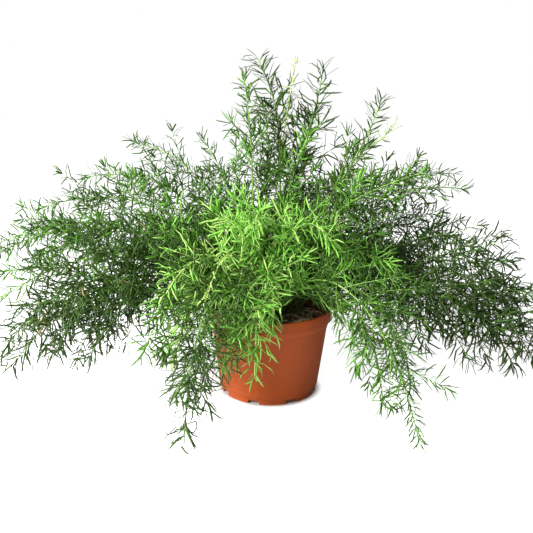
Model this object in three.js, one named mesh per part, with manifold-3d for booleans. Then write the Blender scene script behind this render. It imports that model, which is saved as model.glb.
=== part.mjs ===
// Sprengeri fern (an asparagus fern with arching, needle-leaved stems) in a plastic nursery pot.
// Millimetres, +Z up. The origin is the middle of the pot's foot, on the surface it stands on.
// +X is to the right and +Y to the back; azimuths run anticlockwise from +X, so 270 is the front.

import * as THREE from 'three';
import { mergeVertices } from 'three/addons/utils/BufferGeometryUtils.js';
import Module from 'manifold-3d';

const wasm = await Module();
wasm.setup();

// Pot: a six inch shallow nursery pot
const RIM_RADIUS = 75;
const POT_HEIGHT = 106;
const BAND_HEIGHT = 13;
const BODY_TOP_RADIUS = 70.5;
const BODY_TOP = 86;
const BODY_FOOT_RADIUS = 60.4;
const BODY_FOOT = 8;
const FOOT_RADIUS = 58;
const FOOT_WIDTH = 2.2;
const FLOOR_BELOW = 4.6;
const WALL = 1.6;
const ROUNDING = 1.4;
const ROUND_SEGMENTS = 32;

// Notches in the foot and drain holes in the floor, one of each to every eighth of the pot
const DRAINS = 8;
const NOTCH_WIDTH = 13.5;
const NOTCH_TURN = THREE.MathUtils.degToRad(5.4);
const NOTCH_HEIGHT = 4.4;
const NOTCH_DEPTH = 12;
const DRAIN_RADIUS = 4;
const DRAIN_SIDES = 6;
const DRAIN_CIRCLE = 47;

// Potting soil
const SOIL_TOP = 94;
const SOIL_EDGE_DROP = 3.5;
const SOIL_BUMP = 1.3;
const SOIL_WAVE_X = 0.21;
const SOIL_WAVE_Y = 0.17;
const SOIL_RINGS = [54, 27, 0];
const CLEARANCE = 0.35;

// Canes, twigs and needles
const SIDES = 3;
const ROOT_DEPTH = 14;
const CANE_RADIUS = 1.5;
const CANE_TIP_RADIUS = 0.8;
const CANE_STEP = 50;
const CANE_LEAN = 0.14;
const CANE_RISE = 0.75;
const TWIG_RADIUS = 0.9;
const TWIG_SPACING = 11;
const TWIG_CROWDING = 1.15;
const TWIG_JITTER = 0.6;
const TWIGS_PER_METRE = 5.2;
const TWIGS_LEAST = 3;
const TWIG_SHIFTS = [0, 1, -1, 2, -2];
const BARE_SHARE = 0.07;
const NODE_LENGTH = 2;
const NODE_STEP = 18;
const NODE_TWIST = 0.8;
const NODES_LEAST = 2;
const NODE_PAST_LAST = 0.3;
const NEEDLE_LENGTH = 22;
const NEEDLE_RADIUS = 0.8;
const NEEDLE_SIZE = 0.975;
const NEEDLE_SIZE_SPREAD = 0.45;
const NEEDLE_SHORTENING = 0.3;

// Needles of fresh growth and of the darkest old growth are longer by this share
const BOLD_FROM = 0.3;
const BOLD_LENGTH = 0.3;

// Leafy tip of a cane: its length, at most this share of the cane, the share of it that has no
// twigs, its nodes, and the gap past the last one as a share of the gaps between them
const BRUSH_LENGTH = 110;
const BRUSH_MOST = 0.45;
const BRUSH_TWIGLESS = 0.55;
const BRUSH_NODES = 6;
const BRUSH_PAST_LAST = 0.6;

// New shoots: how young they start, how much shorter and further apart the youngest one's twigs
// are, and how big its buds are beside grown needles
const SHOOT_FROM = 0.6;
const SHOOT_LESS = 0.55;
const SHOOT_SPREAD = 1.1;
const BUD_SIZE = 0.4;

// Angles in degrees: each is the mean, and how far apart its least and greatest lie
const GOLDEN_ANGLE = 137.5;
const TWIG_TURN_SPREAD = 40;
const TWIG_LEAN = 50;
const TWIG_LEAN_SPREAD = 22;
const NEEDLE_OPENING = 58;
const NEEDLE_OPENING_SPREAD = 40;
const NEEDLE_TURN_SPREAD = 23;

// How long a twig is: the longest on its stem, by the stem's reach, less towards both ends
const TWIG_BASE = 46;
const TWIG_BY_REACH = 0.09;
const TWIG_LEAST = 0.26;
const SWELL_START = 0.14;
const SWELL_RANGE = 0.74;
const SWELL_POWER = 0.9;
const TWIG_SIZE = 0.95;
const TWIG_SIZE_SPREAD = 0.6;

// Which way a twig goes: how much flatter the spray is than round, how far its outer half turns
// along the cane, and how far it droops
const SPRAY_FLATNESS = 1.15;
const TWIG_ONWARD = 0.5;
const TWIG_DROOP = -0.1;
const TWIG_DROOP_SPREAD = 0.5;

// The crown parts over the soil at the front right: where the parting starts, where it leads and
// how wide it is
const PARTING = new THREE.Line3(new THREE.Vector3(38, -12, 92), new THREE.Vector3(35, -190, 150));
const PARTING_RADIUS = 24;

// Room that is kept round needles and twigs, and where along one it is tested against the pot
const SPACE = 0.5;
const FLOOR_SPACE = 3;
const TWIG_FLOOR = 8;
const RIM_SPACE = 4;
const TESTED_SHARES = [0.25, 0.5, 0.75, 1];

// How crowded canes spread at the crown
const CROWN_START = 8;
const CROWN_BY_REACH = 0.1;
const CROWN_REACH = 300;
const CROWN_SPACING = 6.4;
const CROWN_RADIUS = 40;
const CROWN_TURNS = 80;
const CROWN_CENTRE = new THREE.Vector3(-9, 5, 0);

// Each stem: azimuth it sets out on, how far it swings round, reach of its tip from the axis,
// height that its arch aims at, share of the reach where it turns down, height of its tip,
// and how young it is: 0 or less for dark old growth, 1 for a bare new shoot.
const STEMS = [
  // upright, at the top
  [20, 90, 60, 330, 0.6, 394, -0.2],
  [150, 40, 34, 285, 0.4, 370, 0.1],
  [60, 5, 58, 300, 0.4, 388, 1.0],
  [38, -5, 66, 300, 0.85, 374, -0.25],
  [88, 10, 80, 290, 0.45, 336, -0.1],
  [350, -4, 42, 262, 0.5, 312, 0.25],
  [358, -4, 118, 245, 0.75, 344, 0.1],
  [24, 4, 166, 250, 0.5, 312, 0.8],
  // arching to the right
  [336, 6, 170, 244, 0.5, 274, 0.2],
  [8, 4, 226, 268, 0.58, 262, 0.0],
  [354, 6, 222, 262, 0.6, 250, 0.0],
  [14, -6, 262, 232, 0.6, 166, 0.0],
  [3, -3, 320, 220, 0.65, 116, -0.15],
  [357, -7, 308, 186, 0.73, 66, -0.3],
  [344, 3, 284, 190, 0.75, 62, -0.3],
  [336, 7, 236, 182, 0.75, 66, -0.25],
  [20, -8, 215, 200, 0.75, 90, 0.0],
  [330, 5, 162, 220, 0.7, 142, 0.3],
  [351, 0, 320, 202, 0.74, 80, -0.25],
  // trailing at the right, in front
  [307, 6, 226, 205, 0.74, 14, 0.0],
  [320, 4, 190, 188, 0.9, 50, 0.05],
  [313, 0, 178, 185, 0.88, 38, 0.2],
  // arching to the left
  [145, 0, 106, 252, 0.6, 298, 0.0],
  [158, 4, 178, 280, 0.55, 292, 0.0],
  [166, 3, 230, 272, 0.6, 250, 0.0],
  [172, 4, 276, 254, 0.6, 216, 0.05],
  [181, -2, 274, 222, 0.6, 160, 0.2],
  [184, -2, 322, 230, 0.62, 166, 0.0],
  [191, -2, 322, 205, 0.65, 112, 0.1],
  [177, 4, 332, 232, 0.62, 172, 0.1],
  [195, 0, 302, 195, 0.72, 76, -0.3],
  [198, 3, 290, 184, 0.72, 72, -0.3],
  [203, -7, 252, 180, 0.75, 68, -0.25],
  [207, -4, 215, 175, 0.75, 68, -0.2],
  [194, 2, 228, 174, 0.8, 56, -0.1],
  [216, 2, 170, 182, 0.75, 82, 0.3],
  [182, 6, 160, 224, 0.6, 176, 0.4],
  [226, -2, 144, 182, 0.78, 78, 0.6],
  // trailing at the left, in front
  [241, 4, 196, 190, 0.88, 14, -0.3],
  [235, 2, 146, 172, 0.9, 42, -0.2],
  // in front, over the rim
  [262, 0, 108, 170, 0.9, 58, 0.65],
  [254, -4, 98, 160, 0.85, 80, 0.6],
  [244, 2, 112, 158, 0.85, 70, 0.6],
  [268, 0, 72, 178, 0.7, 150, 0.5],
  [274, -2, 92, 182, 0.85, 106, 0.55],
  [239, 0, 128, 214, 0.72, 146, 0.9],
  [222, 4, 156, 205, 0.7, 150, 0.7],
  [258, 0, 85, 250, 0.6, 220, 0.6],
  [300, 5, 110, 240, 0.6, 205, 0.55],
  [230, 10, 95, 230, 0.6, 215, 0.55],
  // at the back
  [52, 6, 186, 260, 0.6, 220, 0.1],
  [74, 0, 184, 245, 0.7, 130, 0.0],
  [98, 4, 186, 235, 0.75, 100, 0.1],
  [122, -3, 186, 250, 0.65, 170, 0.1],
  [138, 5, 240, 235, 0.7, 110, 0.0],
  [40, -6, 262, 220, 0.7, 90, 0.0],
  [112, 4, 178, 195, 0.85, 40, 0.1],
  [62, 4, 180, 190, 0.85, 45, 0.0],
].map(([azimuth, bend, reach, lift, shoulder, tip, young]) => (
  { azimuth, bend, reach, lift, shoulder, tip, young }));

const potPlastic = new THREE.MeshStandardMaterial({ color: 0xbb5e3b, roughness: 0.5, metalness: 0 });
const pottingMix = new THREE.MeshStandardMaterial({ color: 0x35251b, roughness: 0.95, metalness: 0 });
const OLD_GREEN = new THREE.Color(0x3a5f33);
const YOUNG_GREEN = new THREE.Color(0x7cb33c);

// Seeds of the random draws for twigs and for leafy tips
const TWIG_SEED = { first: 5000, stem: 997, twig: 13 };
const BRUSH_SEED = { first: 9000, stem: 211 };

// A seeded stream of numbers from 0 to 1 (mulberry32)
function draws(seed) {
  let state = seed | 0;
  return () => {
    state = (state + 0x6D2B79F5) | 0;
    let mixed = Math.imul(state ^ (state >>> 15), 1 | state);
    mixed = (mixed + Math.imul(mixed ^ (mixed >>> 7), 61 | mixed)) ^ mixed;
    return ((mixed ^ (mixed >>> 14)) >>> 0) / 4294967296;
  };
}

function polar(radius, azimuth, z) {
  const angle = THREE.MathUtils.degToRad(azimuth);
  return new THREE.Vector3(radius * Math.cos(angle), radius * Math.sin(angle), z);
}

// Closed geometry to a solid and back

function solidOf(geometry) {
  const bare = geometry.clone();
  bare.deleteAttribute('normal');
  bare.deleteAttribute('uv');
  const merged = mergeVertices(bare, 1e-4);
  return new wasm.Manifold(new wasm.Mesh({
    numProp: 3,
    vertProperties: merged.attributes.position.array,
    triVerts: new Uint32Array(merged.index.array),
  }));
}

function geometryOf(solid) {
  const mesh = solid.getMesh();
  const geometry = new THREE.BufferGeometry();
  geometry.setAttribute('position', new THREE.BufferAttribute(mesh.vertProperties, 3));
  geometry.setIndex(new THREE.BufferAttribute(mesh.triVerts, 1));
  geometry.computeVertexNormals();
  return geometry;
}

function geometryFrom(points, faces) {
  const geometry = new THREE.BufferGeometry().setFromPoints(points);
  geometry.setIndex(faces.flat());
  return geometry;
}

// A profile of [radius, z] turned about the upright axis
function turned(profile) {
  const points = profile.map(([radius, z]) => new THREE.Vector2(radius, z));
  const geometry = new THREE.LatheGeometry(points, ROUND_SEGMENTS);
  geometry.rotateX(Math.PI / 2);
  return geometry;
}

// Pot

// The pot's wall in section: foot ring, tapered body and the band under the rim
function potProfile() {
  const bandFoot = POT_HEIGHT - BAND_HEIGHT;
  return [
    [0, FLOOR_BELOW],
    [FOOT_RADIUS - FOOT_WIDTH, FLOOR_BELOW],
    [FOOT_RADIUS - FOOT_WIDTH, 0],
    [FOOT_RADIUS, 0],
    [FOOT_RADIUS, BODY_FOOT - 2 * ROUNDING],
    [BODY_FOOT_RADIUS, BODY_FOOT],
    [BODY_TOP_RADIUS, BODY_TOP],
    [RIM_RADIUS - ROUNDING / 2, bandFoot - ROUNDING],
    [RIM_RADIUS, bandFoot],
    [RIM_RADIUS, POT_HEIGHT - ROUNDING],
    [RIM_RADIUS - ROUNDING, POT_HEIGHT],
    [RIM_RADIUS - WALL - ROUNDING / 2, POT_HEIGHT],
    [RIM_RADIUS - WALL - ROUNDING / 2, bandFoot],
    [BODY_TOP_RADIUS - WALL, BODY_TOP + 1],
    [BODY_FOOT_RADIUS - WALL, BODY_FOOT - 1],
    [0, FLOOR_BELOW + WALL],
  ];
}

// Boxes through the foot ring, between the pads that the pot stands on
function footNotches() {
  const notches = [];
  for (let k = 0; k < DRAINS; k++) {
    const notch = new THREE.BoxGeometry(NOTCH_DEPTH, NOTCH_WIDTH, 2 * NOTCH_HEIGHT);
    notch.translate(FOOT_RADIUS, 0, 0);
    notch.rotateZ(2 * Math.PI * (k + 0.5) / DRAINS + NOTCH_TURN);
    notches.push(notch);
  }
  return notches;
}

function drainHoles() {
  const holes = [];
  for (let k = 0; k < DRAINS; k++) {
    const hole = new THREE.CylinderGeometry(DRAIN_RADIUS, DRAIN_RADIUS, 3 * FLOOR_BELOW, DRAIN_SIDES);
    hole.rotateX(Math.PI / 2);
    hole.translate(DRAIN_CIRCLE, 0, FLOOR_BELOW);
    hole.rotateZ(2 * Math.PI * (k + 0.5) / DRAINS + NOTCH_TURN);
    holes.push(hole);
  }
  return holes;
}

function potGeometry() {
  let pot = solidOf(turned(potProfile()));
  for (const cut of [...footNotches(), ...drainHoles()]) {
    pot = pot.subtract(solidOf(cut));
  }
  return geometryOf(pot);
}

// Where each stem leaves the soil: crowded canes push each other apart
function crownRoots() {
  const roots = STEMS.map(({ reach, azimuth }) => (
    polar(CROWN_START + CROWN_BY_REACH * Math.min(CROWN_REACH, reach), azimuth, 0)));
  const apart = new THREE.Vector3();
  for (let turn = 0; turn < CROWN_TURNS; turn++) {
    for (let i = 0; i < roots.length; i++) {
      for (let j = 0; j < i; j++) {
        apart.subVectors(roots[i], roots[j]);
        const distance = apart.length();
        if (distance < CROWN_SPACING) {
          apart.multiplyScalar(0.5 * (CROWN_SPACING - distance) / Math.max(distance, 1e-6));
          roots[i].add(apart);
          roots[j].sub(apart);
        }
      }
    }
    for (const root of roots) {
      const share = Math.min(1, CROWN_RADIUS / Math.hypot(root.x, root.y));
      root.x *= share;
      root.y *= share;
    }
  }
  return roots.map((root) => root.add(CROWN_CENTRE).setZ(SOIL_TOP));
}

// The cane's line: up out of the soil, over its arch and down to its tip
function caneRoute(stem, root) {
  const rise = polar(CANE_LEAN * stem.reach, stem.azimuth, CANE_RISE * (stem.lift - SOIL_TOP));
  const turn = Math.max(stem.shoulder * stem.reach, Math.hypot(root.x, root.y));
  return new THREE.CubicBezierCurve3(
    root,
    root.clone().add(rise),
    polar(turn, stem.azimuth + stem.bend / 2, stem.lift),
    polar(stem.reach, stem.azimuth + stem.bend, stem.tip),
  );
}

const ROUTES = crownRoots().map((root, i) => caneRoute(STEMS[i], root));

// Soil

// Height of the soil's uneven top, which sinks a little towards the pot's wall
function soilHeight(x, y) {
  const radius = Math.hypot(x, y);
  const bumps = Math.sin(SOIL_WAVE_X * x + 1) * Math.cos(SOIL_WAVE_Y * y) - 1;
  return SOIL_TOP + SOIL_BUMP * bumps - SOIL_EDGE_DROP * (radius / BODY_TOP_RADIUS) ** 3;
}

function soilBody() {
  const inside = WALL + CLEARANCE;
  const foot = BODY_FOOT - 1;
  const top = SOIL_TOP - SOIL_EDGE_DROP - 1;
  const profile = [
    [0, FLOOR_BELOW + WALL + CLEARANCE],
    [BODY_FOOT_RADIUS - inside - WALL / 2, foot + CLEARANCE],
    [BODY_TOP_RADIUS - inside, BODY_TOP + 1],
    [BODY_TOP_RADIUS - CLEARANCE, top],
    ...SOIL_RINGS.map((radius) => [radius, SOIL_TOP]),
  ];
  const body = turned(profile);
  const place = body.attributes.position;
  for (let k = 0; k < place.count; k++) {
    if (place.getZ(k) > SOIL_TOP - 1) place.setZ(k, soilHeight(place.getX(k), place.getY(k)));
  }
  return solidOf(body);
}

function soilGeometry() {
  let soil = soilBody();
  ROUTES.forEach((route, i) => {
    soil = soil.subtract(solidOf(rootHole(route, STEMS[i])));
  });
  return geometryOf(soil);
}

// Stems

// The two directions across a tangent, the first one level where it can be
function across(tangent, reference) {
  const side = reference.clone().addScaledVector(tangent, -reference.dot(tangent)).normalize();
  const normal = new THREE.Vector3().crossVectors(tangent, side);
  return { side, normal };
}

function outward({ side, normal }, angle) {
  return side.clone().multiplyScalar(Math.cos(angle)).addScaledVector(normal, Math.sin(angle));
}

// The corners of a tube's section at a station
function ringAt(station, shift) {
  const { side, normal } = across(station.tangent, station.reference);
  const corners = [];
  for (let k = 0; k < SIDES; k++) {
    const angle = station.twist + 2 * Math.PI * k / SIDES;
    corners.push(outward({ side, normal }, angle).multiplyScalar(station.radius)
      .addScaledVector(station.tangent, shift).add(station.point));
  }
  return corners;
}

// A closed tube through its stations. Where a station has needle tips, the tube has a short node
// there, and the side that faces each tip is drawn out to it.
function leafyTube(stations, end) {
  const points = [];
  const faces = [];
  const addRing = (station, shift) => {
    points.push(...ringAt(station, shift));
    return points.length - SIDES;
  };
  const join = (low, high, tips) => {
    for (let k = 0; k < SIDES; k++) {
      const next = (k + 1) % SIDES;
      const side = [low + k, low + next, high + next, high + k];
      if (tips && tips[k]) {
        const apex = points.push(tips[k]) - 1;
        side.forEach((corner, m) => faces.push([corner, side[(m + 1) % 4], apex]));
      } else {
        faces.push([side[0], side[1], side[2]], [side[0], side[2], side[3]]);
      }
    }
  };
  let last = null;
  for (const station of stations) {
    const low = addRing(station, station.tips ? -NODE_LENGTH / 2 : 0);
    if (last !== null) join(last, low);
    last = low;
    if (station.tips) {
      last = addRing(station, NODE_LENGTH / 2);
      join(low, last, station.tips);
    }
  }
  faces.push([0, 2, 1]);
  const apex = points.push(end) - 1;
  for (let k = 0; k < SIDES; k++) faces.push([last + k, last + (k + 1) % SIDES, apex]);
  return geometryFrom(points, faces);
}

// A straight stretch of the cane's section below the soil, or the hole that it stands in
function rootHole(route, stem) {
  const start = caneStation(route, stem, 0);
  const corner = CLEARANCE / Math.cos(Math.PI / SIDES);
  const hole = { ...start, radius: start.radius + corner };
  const foot = start.point.clone().addScaledVector(start.tangent, -ROOT_DEPTH - CLEARANCE);
  const mouth = start.point.clone().addScaledVector(start.tangent, ROOT_DEPTH);
  const above = mouth.clone().addScaledVector(start.tangent, 1);
  return leafyTube([{ ...hole, point: foot }, { ...hole, point: mouth }], above);
}

// A station on the cane at a share of its length
function caneStation(route, stem, share) {
  const azimuth = THREE.MathUtils.degToRad(stem.azimuth);
  return {
    point: route.getPointAt(share),
    tangent: route.getTangentAt(share),
    reference: new THREE.Vector3(-Math.sin(azimuth), Math.cos(azimuth), 0),
    radius: THREE.MathUtils.lerp(CANE_RADIUS, CANE_TIP_RADIUS, share),
    twist: Math.PI / 2,
  };
}

// A number from the draw that lies evenly round a mean
function about(mean, spread, draw) {
  return mean + spread * (draw() - 0.5);
}

function degreesAbout(mean, spread, draw) {
  return THREE.MathUtils.degToRad(about(mean, spread, draw));
}

// Shortest distance between two straight pieces
function distanceBetween(first, second) {
  const along = first.to.clone().sub(first.from);
  const other = second.to.clone().sub(second.from);
  const offset = first.from.clone().sub(second.from);
  const a = along.dot(along);
  const b = along.dot(other);
  const c = along.dot(offset);
  const e = other.dot(other);
  const f = other.dot(offset);
  const spread = a * e - b * b;
  let s = spread > 1e-9 ? THREE.MathUtils.clamp((b * f - c * e) / spread, 0, 1) : 0;
  const t = THREE.MathUtils.clamp((b * s + f) / e, 0, 1);
  s = THREE.MathUtils.clamp((b * t - c) / a, 0, 1);
  return along.multiplyScalar(s).add(first.from).distanceTo(other.multiplyScalar(t).add(second.from));
}

// Everything placed so far, as straight pieces with a radius and an owner
const placed = [];

function meetsPot(point) {
  const radius = Math.hypot(point.x, point.y);
  const inSoil = radius < RIM_RADIUS + 1 && point.z < SOIL_TOP + RIM_SPACE;
  const atRim = Math.abs(radius - RIM_RADIUS) < RIM_SPACE && point.z < POT_HEIGHT + 1;
  return inSoil || atRim;
}

function inParting(point) {
  const nearest = PARTING.closestPointToPoint(point, true, new THREE.Vector3());
  return nearest.distanceTo(point) < PARTING_RADIUS;
}

// Whether a new piece keeps clear of all that its owner isn't joined to
function isClear(piece, joined) {
  if (inParting(piece.to)) return false;
  for (const share of TESTED_SHARES) {
    const point = piece.from.clone().lerp(piece.to, share);
    if (point.z < FLOOR_SPACE || meetsPot(point)) return false;
  }
  return placed.every((other) => joined.includes(other.owner)
    || distanceBetween(piece, other) > piece.radius + other.radius + SPACE);
}

// The needles of one node: a tip for each side of the tube, left out where it would meet
// another twig or stem
function needleTips(station, length, draw, owner) {
  const tips = [];
  const frame = across(station.tangent, station.reference);
  for (let k = 0; k < SIDES; k++) {
    const middle = station.twist + 2 * Math.PI * (k + 0.5) / SIDES;
    const angle = middle + degreesAbout(0, NEEDLE_TURN_SPREAD, draw);
    const open = degreesAbout(NEEDLE_OPENING, NEEDLE_OPENING_SPREAD, draw);
    const tip = outward(frame, angle).multiplyScalar(Math.sin(open))
      .addScaledVector(station.tangent, Math.cos(open))
      .multiplyScalar(length * about(NEEDLE_SIZE, NEEDLE_SIZE_SPREAD, draw)).add(station.point);
    const needle = { from: station.point, to: tip, radius: NEEDLE_RADIUS, owner };
    const clear = isClear(needle, [owner]);
    tips.push(clear ? tip : null);
    if (clear) placed.push(needle);
  }
  return tips;
}

// How far a stem is from grown, at 0, to the youngest shoot, at 1
function shootShare({ young }) {
  return THREE.MathUtils.clamp((young - SHOOT_FROM) / (1 - SHOOT_FROM), 0, 1);
}

function leafSize({ young }) {
  return young < 1 ? 1 : BUD_SIZE;
}

function needleSize(stem) {
  const bold = Math.min(1, Math.abs(stem.young) / BOLD_FROM);
  return leafSize(stem) * (1 + BOLD_LENGTH * bold);
}

function brushLength(total) {
  return Math.min(BRUSH_LENGTH, BRUSH_MOST * total);
}

// How long a twig is by its rank, from 0 at the stem's foot to 1 at its tip
function twigLength(stem, rank, draw) {
  const phase = Math.min(1, SWELL_START + SWELL_RANGE * rank);
  const swell = Math.sin(Math.PI * phase) ** SWELL_POWER;
  const longest = (TWIG_BASE + TWIG_BY_REACH * stem.reach) * about(TWIG_SIZE, TWIG_SIZE_SPREAD, draw);
  const size = (1 - SHOOT_LESS * shootShare(stem)) * leafSize(stem);
  return longest * (TWIG_LEAST + (1 - TWIG_LEAST) * swell) * size;
}

// A twig's line: out from the cane at a forward angle, then on along it and a little down
function twigRoute({ route, stem, index, count, stations }, number) {
  const draw = draws(TWIG_SEED.first + TWIG_SEED.stem * index + TWIG_SEED.twig * number);
  const total = route.getLength();
  const start = BARE_SHARE * total;
  const end = total - BRUSH_TWIGLESS * brushLength(total);
  const rank = (number + 0.5) / count;
  const place = THREE.MathUtils.lerp(start, end, rank ** TWIG_CROWDING);
  const along = place + about(0, TWIG_JITTER * TWIG_SPACING, draw);
  const base = caneStation(route, stem, along / total);
  const { side, normal } = across(base.tangent, base.reference);
  const turn = degreesAbout(GOLDEN_ANGLE * number, TWIG_TURN_SPREAD, draw);
  const lean = degreesAbout(TWIG_LEAN, TWIG_LEAN_SPREAD, draw);
  const direction = side.multiplyScalar(SPRAY_FLATNESS * Math.cos(turn))
    .addScaledVector(normal, -Math.sin(turn)).multiplyScalar(Math.sin(lean))
    .addScaledVector(base.tangent, Math.cos(lean)).normalize();
  const length = twigLength(stem, rank, draw);
  const onward = direction.clone().addScaledVector(base.tangent, TWIG_ONWARD);
  onward.z += about(TWIG_DROOP, -TWIG_DROOP_SPREAD, draw);
  const middle = base.point.clone().addScaledVector(direction, length / 2);
  const tip = middle.clone().addScaledVector(onward.normalize(), length / 2);
  tip.z = Math.max(tip.z, TWIG_FLOOR);
  const line = new THREE.QuadraticBezierCurve3(seatOn(stations, base.point), middle, tip);
  return { reference: base.reference, line, length, draw };
}

// The cane as straight pieces between its stations
function caneStations(route, stem) {
  const total = route.getLength();
  const leafless = 1 - brushLength(total) / total;
  const steps = Math.max(2, Math.round(leafless * total / CANE_STEP));
  const stations = [];
  for (let k = 0; k <= steps; k++) stations.push(caneStation(route, stem, leafless * k / steps));
  for (let k = 1; k <= BRUSH_NODES; k++) {
    const share = leafless + (1 - leafless) * k / (BRUSH_NODES + BRUSH_PAST_LAST);
    const station = caneStation(route, stem, share);
    stations.push({ ...station, twist: station.twist + NODE_TWIST * k, leafy: true });
  }
  return stations;
}

function placeCane(route, stem, owner) {
  const stations = caneStations(route, stem);
  const end = route.getPointAt(1);
  stations.forEach((station, k) => {
    const to = k + 1 < stations.length ? stations[k + 1].point : end;
    placed.push({ from: station.point, to, radius: station.radius, owner });
  });
  return stations;
}

// The point of the faceted cane nearest to a point on its true curve
function seatOn(stations, point) {
  const span = new THREE.Line3();
  const best = { distance: Infinity, seat: null };
  for (let k = 0; k + 1 < stations.length; k++) {
    span.set(stations[k].point, stations[k + 1].point);
    const seat = span.closestPointToPoint(point, true, new THREE.Vector3());
    if (seat.distanceTo(point) < best.distance) {
      best.distance = seat.distanceTo(point);
      best.seat = seat;
    }
  }
  return best.seat;
}

// The twig's stations, from its seat on the cane to its last needles
function twigStations({ reference, line, length }, size) {
  const nodes = Math.max(NODES_LEAST, Math.round(length / NODE_STEP));
  const stations = [];
  for (let k = 0; k <= nodes; k++) {
    const share = k / (nodes + NODE_PAST_LAST);
    stations.push({
      point: line.getPoint(share),
      tangent: line.getTangent(share),
      reference,
      radius: TWIG_RADIUS,
      twist: NODE_TWIST * k,
      needle: size * NEEDLE_LENGTH * (1 - NEEDLE_SHORTENING * share ** 3),
    });
  }
  return stations;
}

// A tube for one twig with its needles, or null where the twig would meet something
function placeTwig(shoot, number) {
  const twig = twigRoute(shoot, number);
  const owner = `twig ${shoot.index} ${number}`;
  const stations = twigStations(twig, needleSize(shoot.stem));
  const points = [...stations.map((station) => station.point), twig.line.v2];
  const pieces = points.slice(1).map((to, k) => (
    { from: points[k], to, radius: TWIG_RADIUS, owner }));
  if (!pieces.every((piece) => isClear(piece, [shoot.owner]))) return null;
  placed.push(...pieces);
  for (const station of stations.slice(1)) {
    station.tips = needleTips(station, station.needle, twig.draw, owner);
  }
  return leafyTube(stations, twig.line.v2);
}

// The first twig that finds room at or near its place on the stem
function addTwig(shoot, turn) {
  const middle = Math.floor((turn + 0.5) * shoot.count / shoot.wanted);
  for (const shift of TWIG_SHIFTS) {
    const number = THREE.MathUtils.clamp(middle + shift, 0, shoot.count - 1);
    if (shoot.twigs.has(number)) continue;
    const tube = placeTwig(shoot, number);
    if (tube) {
      shoot.twigs.set(number, tube);
      return;
    }
  }
}

// What each stem starts from: its cane's stations, and how many twigs it could have and gets here
function startShoot(stem, index) {
  const owner = `cane ${index}`;
  const route = ROUTES[index];
  const total = route.getLength();
  const leafy = (1 - BARE_SHARE) * total - BRUSH_TWIGLESS * brushLength(total);
  const spread = 1 + SHOOT_SPREAD * shootShare(stem);
  return {
    stem,
    index,
    owner,
    route,
    stations: placeCane(route, stem, owner),
    count: Math.max(TWIGS_LEAST, Math.floor(leafy / (TWIG_SPACING * spread))),
    wanted: Math.max(1, Math.round(TWIGS_PER_METRE * total / (1000 * spread))),
    twigs: new Map(),
  };
}

function addBrush({ stations, stem, index, owner }) {
  const draw = draws(BRUSH_SEED.first + BRUSH_SEED.stem * index);
  const length = needleSize(stem) * NEEDLE_LENGTH;
  for (const station of stations) {
    if (station.leafy) station.tips = needleTips(station, length, draw, owner);
  }
}

// All stems: every cane, then every leafy tip, then the twigs in turns from the tips inwards, so
// that no stem takes all the room
function growShoots() {
  const shoots = STEMS.map(startShoot);
  shoots.forEach(addBrush);
  const turns = Math.max(...shoots.map((shoot) => shoot.wanted));
  for (let turn = turns - 1; turn >= 0; turn--) {
    for (const shoot of shoots) {
      if (turn < shoot.wanted) addTwig(shoot, turn);
    }
  }
  return shoots;
}

// A whole stem in one solid: the cane with its root and leafy tip, and its twigs
function stemGeometry({ route, stations, twigs }) {
  const foot = stations[0].point.clone().addScaledVector(stations[0].tangent, -ROOT_DEPTH);
  let solid = solidOf(leafyTube([{ ...stations[0], point: foot }, ...stations], route.getPointAt(1)));
  for (const tube of twigs.values()) solid = solid.add(solidOf(tube));
  return geometryOf(solid);
}

// Assembly

const plant = new THREE.Group();

function addPiece(name, geometry, material) {
  const mesh = new THREE.Mesh(geometry, material);
  mesh.name = name;
  plant.add(mesh);
}

addPiece('pot', potGeometry(), potPlastic);
addPiece('soil', soilGeometry(), pottingMix);
for (const shoot of growShoots()) {
  const leaf = new THREE.MeshStandardMaterial({ roughness: 0.6, metalness: 0 });
  leaf.color.lerpColors(OLD_GREEN, YOUNG_GREEN, Math.max(0, shoot.stem.young));
  addPiece(`stem_${String(shoot.index + 1).padStart(2, '0')}`, stemGeometry(shoot), leaf);
}

export default plant;
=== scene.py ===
"""Sprengeri fern in a terracotta-coloured nursery pot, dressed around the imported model.

Growth is worked out in millimetres, as in the part, and made metres when a mesh is built.
+Z is up, -Y is the side that the photograph shows, and azimuths run anticlockwise from +X.
"""
import math
from collections import namedtuple

import bmesh
import bpy
import numpy as np
from mathutils import Matrix, Vector


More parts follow.
